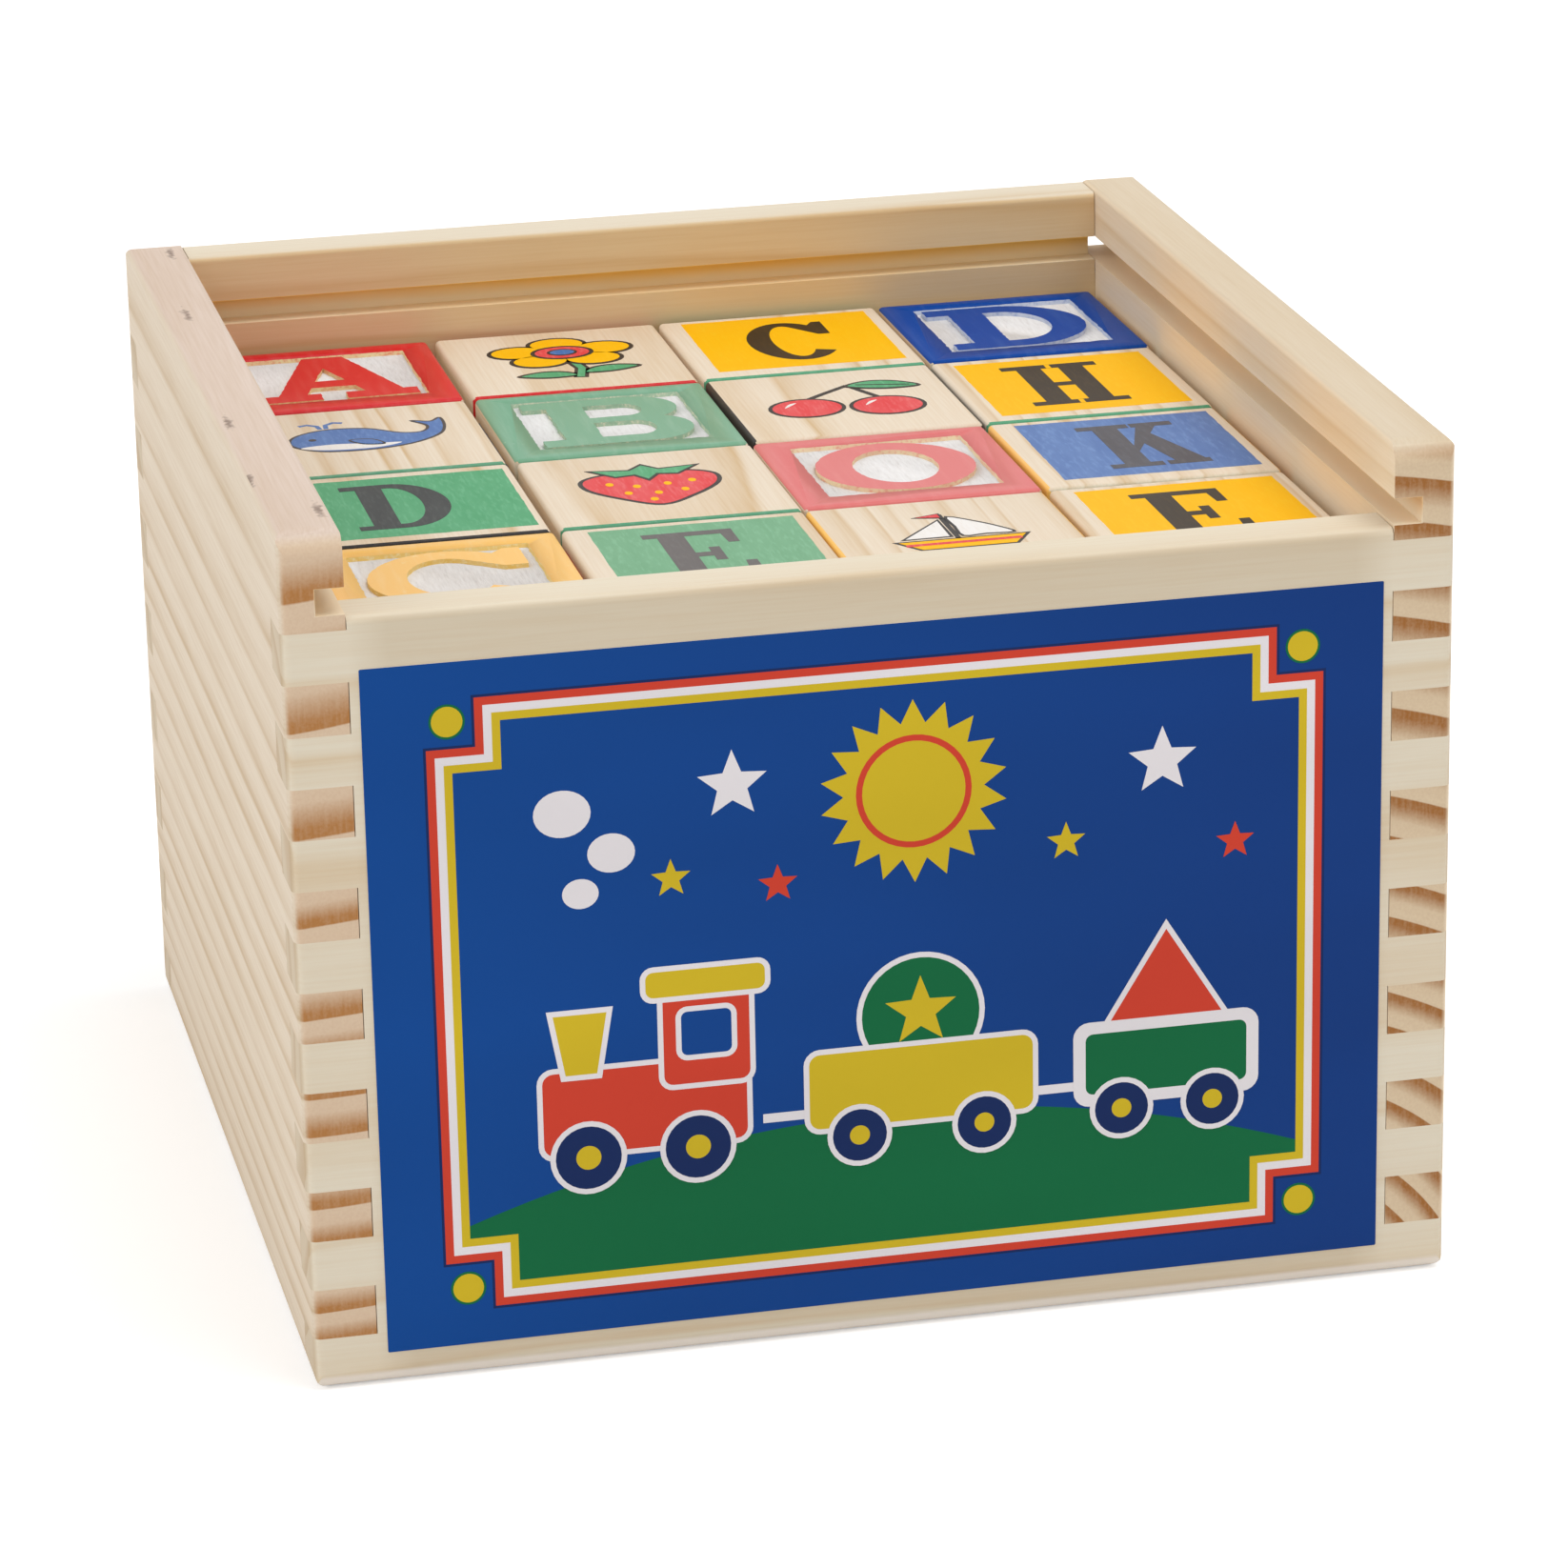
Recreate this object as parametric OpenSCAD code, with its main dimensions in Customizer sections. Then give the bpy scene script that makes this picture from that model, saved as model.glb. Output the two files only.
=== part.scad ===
// Boxed set of wooden alphabet blocks: a comb-jointed pine box with a groove
// for a sliding lid, and three layers of carved blocks that lift straight out.
// Millimetres. +Z is up, the labelled front looks along -Y.
// The origin is the centre of the box's footprint, on the table.

/* [Blocks] */
// Edge length of one block
block_size = 31.75; // [30:0.25:34]
// Radius of a block's sanded edges
block_edge_r = 0.7; // [0.4:0.1:2]
// Gap between neighbouring blocks
block_gap = 0.75; // [0.5:0.05:1.5]
// Gap between the outer blocks and the walls
wall_gap = 1.375; // [0.8:0.025:3]
// Width of the raised rim round a carved face
rim_w = 4.2; // [3:0.1:5]
// Depth of the field inside that rim
field_depth = 0.6; // [0.4:0.1:1.5]
// Gap between a carved letter and the rim
letter_gap = 0.7; // [0.4:0.1:2]
// Width of a letter's main strokes
letter_stroke = 5; // [3.5:0.1:5.5]
// Thickness of a letter's slab feet and thin strokes
letter_slab = 3.2; // [2:0.1:3.6]

/* [Walls] */
// Thickness of the pine walls
wall_t = 8; // [7:0.25:10]
// Radius of the box's upright corners
corner_r = 1.1; // [0.8:0.1:3]
// Radius of the outer top edges
top_outer_r = 1.4; // [1:0.1:3.5]
// Radius of the inner top edges
top_inner_r = 0.8; // [0.5:0.1:2.5]
// Radius of the side walls' top corners, seen from the side
wall_end_r = 3; // [0.5:0.1:4]
// Radius of the front wall's top edges
front_edge_r = 1; // [0.5:0.1:2]
// Radius of the outer bottom edges
bottom_r = 2.2; // [0.8:0.1:3]
// Height of the front wall above the last front finger
front_rise = 1.6; // [0.8:0.1:1.8]
// How far the back wall stops below the side walls
back_drop = 0.6; // [0.4:0.1:2]

/* [Comb joints] */
// Height of the lowest front finger
base_finger_h = 7.1; // [5:0.1:9]
// Play between a finger's root and the wall that it passes
finger_play = 0.1; // [0.05:0.05:0.4]

/* [Lid groove] */
// Depth of the groove in the walls
groove_d = 3.6; // [2.5:0.1:4.5]
// Height of the groove
groove_h = 3.4; // [3:0.1:4]
// Height of the wall above the groove
lip_h = 7.1; // [5:0.1:9]
// Height of the groove's floor above the foot of the top fingers
sill_h = 2; // [1.9:0.1:3.5]
// Free height between the top blocks and the groove's floor
headroom = 4.25; // [3.5:0.25:8]

/* [Bottom panel] */
// Thickness of the bottom panel
panel_t = 2; // [1.5:0.1:4]
// Depth of the rebate that holds it
rebate_d = 4; // [2:0.1:4.5]
// Play round the panel
panel_play = 0.15; // [0.05:0.05:0.3]

/* [Front label] */
// Thickness of the card label
label_t = 0.25; // [0.15:0.05:0.5]
// Bare wood between the label and the corner joints
label_side_gap = 1.3; // [0.5:0.1:5]
// Bare wood under the label
label_bottom_gap = 4.4; // [3:0.1:8]
// Bare wood over the label
label_top_gap = 6.7; // [4:0.1:10]

/* [Hidden] */
$fn = 64;
columns = 4;
rows = 4;
layers = 3;
finger_count = 7;
overrun = 1;

// Each layer's letters, the back row first, each row from left to right.
// The first layer is the top one.
carved_letters = [
    ["ATLD", "HBET", "LKOC", "CEAK"],
    ["EOHA", "CLTB", "DKAE", "BHOL"],
    ["KDBO", "TACH", "OELD", "HTKB"]
];
// Axis that each block's two carved faces look along
carved_axes = [
    ["zyyz", "yzxy", "yyzx", "zyxy"],
    ["yxzy", "xyxz", "zyxy", "yxzx"],
    ["xzyx", "yxyz", "xzxy", "zyxz"]
];
ink_names = ["firebrick", "royalblue", "seagreen", "goldenrod"];

inner_w = columns * block_size + (columns - 1) * block_gap + 2 * wall_gap;
inner_d = rows * block_size + (rows - 1) * block_gap + 2 * wall_gap;
box_w = inner_w + 2 * wall_t;
box_d = inner_d + 2 * wall_t;
pitch = block_size + block_gap;

groove_z = panel_t + layers * block_size + headroom;
box_h = groove_z + groove_h + lip_h;
comb_top = groove_z - sill_h;
finger_h = (comb_top - base_finger_h) / (2 * finger_count);
front_h = comb_top + front_rise;
back_h = box_h - back_drop;

label_w = box_w - 2 * (wall_t + label_side_gap);
label_h = front_h - label_bottom_gap - label_top_gap;

field_size = block_size - 2 * rim_w;
letter_h = field_size - 2 * letter_gap;

function block_name(layer, row, column) =
    str("block_", ["top", "middle", "bottom"][layer], "_row", row + 1, "_", column + 1);
function block_x(column) = (column - (columns - 1) / 2) * pitch;
function block_y(row) = ((rows - 1) / 2 - row) * pitch;
function block_z(layer) = panel_t + (layers - 1 - layer) * block_size;

// What a round-over of radius r takes off a corner of an outline. The corner is
// at the origin and the wood lies towards dx, dy.
module corner_waste(r, dx, dy) {
    difference() {
        translate([dx > 0 ? -overrun : -r, dy > 0 ? -overrun : -r])
            square([r + overrun, r + overrun]);
        translate([dx * r, dy * r])
            circle(r = r);
    }
}

// A w by h outline, centred on x, standing on y = 0. Its corner radii run
// from the lower left one anticlockwise.
module rounded_plate(w, h, radii) {
    sides = [[-1, 0], [1, 0], [1, 1], [-1, 1]];
    difference() {
        translate([-w / 2, 0])
            square([w, h]);
        for (i = [0 : len(sides) - 1])
            if (radii[i] > 0)
                translate([sides[i][0] * w / 2, sides[i][1] * h])
                    corner_waste(radii[i], -sides[i][0], 1 - 2 * sides[i][1]);
    }
}

// The box's plan, rounded at its upright corners, as tall as the side walls
module plan_block() {
    linear_extrude(box_h)
        translate([0, -box_d / 2])
            rounded_plate(box_w, box_d, [corner_r, corner_r, corner_r, corner_r]);
}

// Its outline from the side, rounded at the foot and at the side walls' top
// corners, as wide as the box
module side_block() {
    rotate([90, 0, 90])
        linear_extrude(box_w, center = true)
            rounded_plate(box_d, box_h, [bottom_r, bottom_r, wall_end_r, wall_end_r]);
}

// Its outline from the front, rounded at the foot, as deep as the box
module front_block() {
    rotate([90, 0, 0])
        linear_extrude(box_d, center = true)
            rounded_plate(box_w, box_h, [bottom_r, bottom_r, 0, 0]);
}

// Cuts a wall to the box's three outlines
module trimmed() {
    intersection() {
        plan_block();
        side_block();
        front_block();
        children();
    }
}

// A wall lying along Y, its outer face on the left. It is cut from a section
// whose top corners have the two radii given.
module wall_bar(h, length, inner_top, outer_top) {
    rotate([90, 0, 0])
        linear_extrude(length, center = true)
            rounded_plate(wall_t, h, [0, 0, inner_top, outer_top]);
}

// One slot in the end of a wall of this length that lies along Y, centred on x,
// from height z up. It takes the finger of the wall that comes in at that end.
module end_slot(length, end, z, h) {
    depth = wall_t + finger_play + overrun;
    translate([-wall_t / 2 - overrun, end * (length / 2 + overrun) - (end > 0 ? depth : 0), z])
        cube([wall_t + 2 * overrun, depth, h]);
}

// Slots of the front and back walls, for the side walls' fingers
module front_slots() {
    for (end = [-1, 1]) {
        for (i = [0 : finger_count - 1])
            end_slot(box_w, end, base_finger_h + 2 * i * finger_h, finger_h);
        end_slot(box_w, end, comb_top, box_h);
    }
}

// Slots of the side walls, for the front and back walls' fingers
module side_slots() {
    for (end = [-1, 1]) {
        end_slot(box_d, end, -overrun, base_finger_h + overrun);
        for (i = [0 : finger_count - 1])
            end_slot(box_d, end, base_finger_h + (2 * i + 1) * finger_h, finger_h);
    }
}

// The flat block that the bottom panel's rebate takes out of the four walls,
// or the panel itself once the play is taken off
module panel_block(play) {
    w = inner_w + 2 * (rebate_d - play);
    d = inner_d + 2 * (rebate_d - play);
    translate([-w / 2, -d / 2, 0])
        cube([w, d, panel_t]);
}

// The room for the sliding lid, open at the front
module lid_room() {
    translate([-inner_w / 2 - groove_d, -box_d / 2 - overrun, groove_z])
        cube([inner_w + 2 * groove_d, inner_d + wall_t + overrun + groove_d, groove_h]);
}

module front_wall() {
    color("burlywood")
        trimmed()
            difference() {
                translate([0, (wall_t - box_d) / 2, 0])
                    rotate([0, 0, 90])
                        difference() {
                            wall_bar(front_h, box_w, front_edge_r, front_edge_r);
                            front_slots();
                        }
                panel_block(0);
            }
}

module back_wall() {
    color("tan")
        trimmed()
            difference() {
                translate([0, (box_d - wall_t) / 2, 0])
                    rotate([0, 0, -90])
                        difference() {
                            wall_bar(back_h, box_w, top_inner_r, top_outer_r);
                            front_slots();
                        }
                panel_block(0);
                lid_room();
            }
}

// The left wall. The right one is its mirror image.
module side_wall() {
    trimmed()
        difference() {
            translate([(wall_t - box_w) / 2, 0, 0])
                difference() {
                    wall_bar(box_h, box_d, top_inner_r, top_outer_r);
                    side_slots();
                }
            panel_block(0);
            translate([-inner_w / 2 - groove_d, -box_d / 2 - overrun, groove_z])
                cube([wall_t, box_d + 2 * overrun, groove_h]);
        }
}

module left_wall() {
    color("wheat")
        side_wall();
}

module right_wall() {
    color("wheat")
        mirror([1, 0, 0])
            side_wall();
}

module bottom_panel() {
    color("peru")
        panel_block(panel_play);
}

module front_label() {
    color("mediumblue")
        translate([-label_w / 2, -box_d / 2 - label_t, label_bottom_gap])
            cube([label_w, label_t, label_h]);
}

// Square stroke from corner [x, y], in the letter's own plane
module bar(x, y, w, h) {
    translate([x, y])
        square([w, h]);
}

// Slanted stroke of width w between two heights
module slant(x0, y0, x1, y1, w) {
    polygon([[x0, y0], [x0 + w, y0], [x1 + w, y1], [x1, y1]]);
}

// Full-height upright stroke whose left side is at x
module stem(x) {
    bar(x, -letter_h / 2, letter_stroke, letter_h);
}

// A slab foot from x0 to x1 and its twin at the letter's top
module slabs(x0, x1) {
    for (y = [-letter_h / 2, letter_h / 2 - letter_slab])
        bar(x0, y, x1 - x0, letter_slab);
}

// A plate between two corners. The radius of its right-hand corners is a share
// of its height.
module lobe(x0, y0, x1, y1, round_share) {
    r = (y1 - y0) * round_share;
    translate([(x0 + x1) / 2, y0])
        rounded_plate(x1 - x0, y1 - y0, [0, r, r, 0]);
}

// The round of C and O: wide sides, thin at the top and bottom
module round_stroke() {
    w = letter_h * 0.96;
    inner_w = w - 2 * letter_stroke;
    difference() {
        translate([0, -letter_h / 2])
            rounded_plate(w, letter_h, [w / 2, w / 2, w / 2, w / 2]);
        translate([0, letter_slab - letter_h / 2])
            rounded_plate(inner_w, letter_h - 2 * letter_slab,
                [inner_w / 2, inner_w / 2, inner_w / 2, inner_w / 2]);
    }
}

// Fat capitals with slab feet, letter_h tall and centred on the origin
module letter(ch) {
    s = letter_stroke;
    f = letter_slab;
    half = letter_h / 2;
    left = -half * 0.97;
    right = half * 0.95;
    stem_x = -half * 0.68;
    if (ch == "A") {
        slant(-half * 0.86, -half, -half * 0.26, half, s * 0.8);
        slant(half * 0.86 - s, -half, half * 0.26 - s, half, s);
        bar(-half / 2, -half * 0.42, half, f);
        bar(left, -half, half * 0.7, f);
        bar(half * 0.06, -half, half * 0.91, f);
    }
    if (ch == "B")
        difference() {
            union() {
                stem(stem_x);
                slabs(left, stem_x + s);
                lobe(stem_x, -half, right, half * 0.06, 0.5);
                lobe(stem_x, -half * 0.06, right - f * 0.2, half, 0.5);
            }
            lobe(stem_x + s, f - half, right - s, -half * 0.18, 0.5);
            lobe(stem_x + s, half * 0.18, right - s - f * 0.2, half - f, 0.5);
        }
    if (ch == "C") {
        difference() {
            round_stroke();
            bar(half * 0.2, -half * 0.36, half, half * 0.62);
        }
        bar(half * 0.66, half * 0.24, f * 0.8, half * 0.7);
    }
    if (ch == "D")
        difference() {
            union() {
                stem(stem_x);
                slabs(left, stem_x + s);
                lobe(stem_x, -half, right, half, 0.45);
            }
            lobe(stem_x + s, f - half, right - s, half - f, 0.35);
        }
    if (ch == "E" || ch == "L") {
        stem(stem_x);
        slabs(left, stem_x + s);
        bar(stem_x, -half, right - stem_x, f);
        bar(right - f * 0.8, -half, f * 0.8, half * 0.66);
    }
    if (ch == "E") {
        bar(stem_x, half - f, right - stem_x - f * 0.2, f);
        bar(right - f, half * 0.42, f * 0.8, half * 0.58);
        bar(stem_x, -f / 2, half * 1.06, f);
        bar(half * 0.2, -half * 0.28, f * 0.7, half * 0.56);
    }
    if (ch == "L")
        slabs(left, stem_x + s + half * 0.3);
    if (ch == "H") {
        for (side = [-1, 1]) {
            stem(side * half * 0.58 - s / 2);
            slabs(side * half * 0.58 - half * 0.38, side * half * 0.58 + half * 0.38);
        }
        bar(-half * 0.58, -f / 2, half * 1.16, f);
    }
    if (ch == "K") {
        stem(stem_x);
        slabs(left, stem_x + s + half * 0.14);
        slabs(half * 0.18, right);
        slant(stem_x + s / 2, -half * 0.2, half * 0.36, half, f);
        slant(right - s * 1.2, -half, -half * 0.24, half * 0.24, s);
    }
    if (ch == "O")
        round_stroke();
    if (ch == "T") {
        stem(-s / 2);
        bar(left, half - f, half * 1.94, f);
        for (x = [left, -left - f * 0.8])
            bar(x, half * 0.3, f * 0.8, half * 0.7);
        bar(-half * 0.5, -half, half, f);
    }
}

// A cube with rounded edges, centred on x and y, standing on z = 0
module rounded_cube(size, r) {
    radii = [r, r, r, r];
    intersection() {
        linear_extrude(size)
            translate([0, -size / 2])
                rounded_plate(size, size, radii);
        rotate([90, 0, 0])
            linear_extrude(size, center = true)
                rounded_plate(size, size, radii);
        rotate([90, 0, 90])
            linear_extrude(size, center = true)
                rounded_plate(size, size, radii);
    }
}

// One block with its two carved faces along Z: a sunk field inside a rim, and
// a letter left standing in it
module carved_block(ch) {
    cut = field_depth + overrun;
    difference() {
        rounded_cube(block_size, block_edge_r);
        for (top = [0, 1])
            translate([0, 0, top * (block_size + 2 * overrun - cut) - overrun])
                linear_extrude(cut)
                    difference() {
                        square([field_size, field_size], center = true);
                        mirror([1 - top, 0])
                            letter(ch);
                    }
    }
}

// Turns a block's carved faces to look along the named axis
module turned(axis) {
    turn = axis == "x" ? [90, 0, 90] : (axis == "y" ? [90, 0, 0] : [0, 0, 0]);
    translate([0, 0, block_size / 2])
        rotate(turn)
            translate([0, 0, -block_size / 2])
                children();
}

module block(layer, row, column) {
    color(ink_names[(layer + row + 2 * column) % len(ink_names)])
        translate([block_x(column), block_y(row), block_z(layer)])
            turned(carved_axes[layer][row][column])
                carved_block(carved_letters[layer][row][column]);
}

front_wall();
back_wall();
left_wall();
right_wall();
bottom_panel();
front_label();
for (l = [0 : layers - 1], r = [0 : rows - 1], c = [0 : columns - 1])
    block(l, r, c);
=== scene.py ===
import math
import random
from functools import partial

import bmesh
import bpy
from mathutils import Matrix, Vector


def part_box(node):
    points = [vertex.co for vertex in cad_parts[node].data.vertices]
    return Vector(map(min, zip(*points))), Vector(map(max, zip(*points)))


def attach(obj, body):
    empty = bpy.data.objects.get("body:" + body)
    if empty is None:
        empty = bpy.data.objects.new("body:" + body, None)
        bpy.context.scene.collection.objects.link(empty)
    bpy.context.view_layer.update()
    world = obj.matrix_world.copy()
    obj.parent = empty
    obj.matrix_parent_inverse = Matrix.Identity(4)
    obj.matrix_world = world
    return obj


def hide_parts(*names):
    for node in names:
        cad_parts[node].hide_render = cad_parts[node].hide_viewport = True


# A pine box of wooden alphabet blocks. Outlines and patterns are worked out in
# millimetres and brought to metres as each mesh is finished.
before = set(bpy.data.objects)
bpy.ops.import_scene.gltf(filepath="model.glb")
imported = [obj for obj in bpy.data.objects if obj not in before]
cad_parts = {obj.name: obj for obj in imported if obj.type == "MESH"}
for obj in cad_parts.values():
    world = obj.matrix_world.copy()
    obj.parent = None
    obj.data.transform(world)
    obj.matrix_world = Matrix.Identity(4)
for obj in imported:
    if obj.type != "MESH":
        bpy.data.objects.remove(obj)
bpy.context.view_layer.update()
mm = 0.001


def toLinear(hexCode):
    values = [int(hexCode[i:i + 2], 16) / 255 for i in (1, 3, 5)]
    return tuple(v / 12.92 if v <= 0.04045 else ((v + 0.055) / 1.055) ** 2.4 for v in values) + (1.0,)


def setInputs(node, inputs):
    # An input may be a node, for its first output, a socket, a hex colour or a value.
    # A Mix of colours takes them as inputs 6 and 7 and gives output 2.
    for name, value in inputs.items():
        if isinstance(value, bpy.types.Node):
            value = value.outputs[0]
        if isinstance(value, bpy.types.NodeSocket):
            node.id_data.links.new(value, node.inputs[name])
        else:
            node.inputs[name].default_value = toLinear(value) if isinstance(value, str) else value


def addNode(tree, kind, inputs=None, **settings):
    node = tree.nodes.new("ShaderNode" + kind)
    for name, value in settings.items():
        setattr(node, name, value)
    setInputs(node, inputs or {})
    return node


def setStops(ramp, stops):
    elements = ramp.color_ramp.elements
    while len(elements) < len(stops):
        elements.new(0.5)
    for element, (place, colour) in zip(elements, stops):
        element.position = place
        element.color = toLinear(colour) if isinstance(colour, str) else (colour, colour, colour, 1)
    return ramp


def newMaterial(name, roughness, shine=0.5, ior=1.5):
    # with its shader, and addNode for its own node tree
    material = bpy.data.materials.new(name)
    material.use_nodes = True
    shader = material.node_tree.nodes["Principled BSDF"]
    setInputs(shader, {"Roughness": roughness, "Specular IOR Level": shine, "IOR": ior})
    return material, shader, partial(addNode, material.node_tree)


def drawnNoise(add, place, scale, detail=3.0, **more):
    # noise drawn out along the grain: so many cycles to the mm each way
    drawn = add("Mapping", {"Vector": place, "Scale": scale})
    return add("TexNoise", {"Vector": drawn, "Scale": 1.0, "Detail": detail, **more})


def dress(add, shader, colour, relief, strength, depth):
    # gives the shader its colour and a fine relief, its depth in mm
    bump = add("Bump", {"Height": relief, "Strength": strength, "Distance": depth * mm})
    setInputs(shader, {"Base Color": colour, "Normal": bump})


# Sawn and sanded pine. The rings are real cylinders round the tree's heart, so
# long stripes run along a board and arcs show on its ends.
wood = {
    "fibre": 0.35,          # mm across one visible fibre
    "fibreLength": 14.0,    # mm along it
    "relief": 0.05,         # mm from its top to its foot
    "mark": (0.035, 0.2, 1.0),      # dark marks: one place per 28 mm by 5 mm, most of them used
    "markColour": "#84705F",
    "grooveFloor": 101.5,
    "grooveTop": 104.9,
    "grooveReach": 69.6,    # how far from the middle the groove goes into the walls
    "blend": 5.0,           # mm over which the painted shade near the middle gives way
}


def yearPhase(add, place, heart, ringWidth, wavy, uneven, power):
    # how far through its year the wood is, from 0 to 1. The rings wander slowly
    # along the board, by wavy mm
    wander = drawnNoise(add, place, (0.006, 0.02, 0.02), 2.0)
    shift = add("VectorMath", {0: wander.outputs["Color"], 1: (0.5, 0.5, 0.5)}, operation="SUBTRACT")
    push = add("VectorMath", {0: shift, 1: (0.0, wavy, wavy)}, operation="MULTIPLY")
    pushed = add("VectorMath", {0: place, 1: push}, operation="ADD")
    centred = add("VectorMath", {0: pushed, 1: (0.0, *heart)}, operation="SUBTRACT")
    flat = add("VectorMath", {0: centred, 1: (0.0, 1.0, 1.0)}, operation="MULTIPLY")
    radius = add("VectorMath", {0: flat}, operation="LENGTH").outputs["Value"]
    # rings aren't evenly wide
    years = add("TexNoise", {"W": radius, "Scale": 0.11, "Detail": 1.0}, noise_dimensions="1D")
    wide = add("Math", {0: years, 1: uneven}, operation="MULTIPLY")
    rings = add("Math", {0: radius, 1: wide}, operation="ADD")
    # with a power other than 1 the years grow narrower or wider away from the heart
    scaled = add("Math", {0: rings, 1: ringWidth}, operation="DIVIDE")
    count = add("Math", {0: scaled, 1: power}, operation="POWER")
    return add("Math", {0: count}, operation="FRACT")


def addMarks(add, place, colour, strength):
    # a few small brown marks, torn at their edges, on the top of a wall
    spots = add("Mapping", {"Vector": place, "Scale": wood["mark"]})
    torn = add("TexNoise", {"Vector": place, "Scale": 0.9, "Detail": 2.0})
    ragged = add("VectorMath", {0: torn.outputs["Color"], 1: (0.24, 0.3, 0.0), 2: spots}, operation="MULTIPLY_ADD")
    cells = add("TexVoronoi", {"Vector": ragged, "Scale": 1.0}, voronoi_dimensions="2D")
    core = setStops(add("ValToRGB", {0: cells}), [(0.0, strength), (0.05, strength * 0.8), (0.13, 0.0)])
    lot = add("SeparateColor", {0: cells.outputs["Color"]})
    chosen = add("Math", {0: lot, 1: 0.2}, operation="GREATER_THAN")
    upward = add("SeparateXYZ", {0: add("TexCoord").outputs["Normal"]})
    onTop = add("Math", {0: upward.outputs[2], 1: 0.7}, operation="GREATER_THAN")
    placed = add("Math", {0: chosen, 1: onTop}, operation="MULTIPLY")
    mask = add("Math", {0: core, 1: placed}, operation="MULTIPLY")
    return add("Mix", {0: mask, 6: colour, 7: wood["markColour"]}, data_type="RGBA").outputs[2]


def addEnds(add, place, colour, grainTurn, phase, fibreDark, tones):
    # late wood shows far darker on an end, fading in over most of the year
    normal = add("TexCoord").outputs["Normal"]
    turned = add("Mapping", {"Vector": normal, "Rotation": grainTurn}, vector_type="VECTOR")
    facing = add("Math", {0: add("SeparateXYZ", {0: turned})}, operation="ABSOLUTE")
    isEnd = add("MapRange", {0: facing, 1: 0.6, 2: 0.95})
    late = setStops(add("ValToRGB", {0: phase}),
                    [(0.0, 0.0), (0.32, 0.06), (0.54, 0.55), (0.74, 0.95), (0.91, 1.0), (0.94, 0.03)])
    # fine rays cross the years
    rays = drawnNoise(add, place, (0.2, 2.2, 0.3))
    cut = add("MapRange", {0: rays, 1: 0.35, 2: 0.65, 3: 0.84, 4: 1.0})
    rayed = add("Math", {0: late, 1: cut}, operation="MULTIPLY")
    pores = add("Math", {0: fibreDark, 1: 0.4}, operation="MULTIPLY")
    total = add("Math", {0: rayed, 1: pores}, operation="ADD", use_clamp=True)
    endGrain = add("Mix", {0: total, 6: tones[0], 7: tones[1]}, data_type="RGBA").outputs[2]
    return add("Mix", {0: isEnd, 6: colour, 7: endGrain}, data_type="RGBA").outputs[2]


def addFacingShade(add, place, colour, shadeFacing, tint, middle):
    # painted shade: faces turned this way are darkened by a tint, on some boards only near the middle
    normal = add("TexCoord").outputs["Normal"]
    facing = add("VectorMath", {0: normal, 1: shadeFacing}, operation="DOT_PRODUCT").outputs["Value"]
    turned = add("MapRange", {0: facing, 1: 0.5, 2: 0.85})
    along = add("Math", {0: add("SeparateXYZ", {0: place})}, operation="ABSOLUTE")
    near = add("MapRange", {0: along, 1: middle, 2: middle + wood["blend"], 3: 1.0, 4: 0.0})
    share = add("Math", {0: turned, 1: near}, operation="MULTIPLY")
    shaded = add("Mix", {0: share, 6: colour, 7: (*tint, 1.0)}, data_type="RGBA", blend_type="MULTIPLY")
    return shaded.outputs[2]


def addGroove(add, place, colour, cloud, tones):
    # where the cutter has opened the groove the wood takes other tones, partly the cut wood's own colour and partly
    # painted shade
    floor, top = wood["grooveFloor"], wood["grooveTop"]
    spot = add("SeparateXYZ", {0: place})
    across, height = spot.outputs[1], spot.outputs[2]
    reach = add("Math", {0: across}, operation="ABSOLUTE")
    inside = add("Math", {0: reach, 1: wood["grooveReach"] + 0.1}, operation="LESS_THAN")
    over = add("Math", {0: height, 1: floor - 0.05}, operation="GREATER_THAN")
    under = add("Math", {0: height, 1: top + 0.05}, operation="LESS_THAN")
    between = add("Math", {0: over, 1: under}, operation="MULTIPLY")
    opened = add("Math", {0: between, 1: inside}, operation="MULTIPLY")
    # the painted shade deeper towards the groove's top, under its lip, and varying in patches
    level = add("MapRange", {0: height, 1: floor + 0.6, 2: top - 0.8})
    patchiness = add("MapRange", {0: cloud, 1: 0.42, 2: 0.62, 3: -0.15, 4: 0.25})
    depth = add("Math", {0: level, 1: patchiness}, operation="ADD", use_clamp=True)
    grooveShade = add("Mix", {0: depth, 6: tones[0], 7: tones[1]}, data_type="RGBA").outputs[2]
    return add("Mix", {0: opened, 6: colour, 7: grooveShade}, data_type="RGBA").outputs[2]


def addFloorBounceLight(add, colour, tone):
    # painted light: the rounded edge at the foot, turned down to the floor, is made paler as if lit by light bounced
    # off it
    downward = add("SeparateXYZ", {0: add("TexCoord").outputs["Normal"]})
    low = add("MapRange", {0: downward.outputs[2], 1: -0.12, 2: -0.3, 3: 0.0, 4: 0.75})
    return add("Mix", {0: low, 6: colour, 7: tone}, data_type="RGBA").outputs[2]


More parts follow.
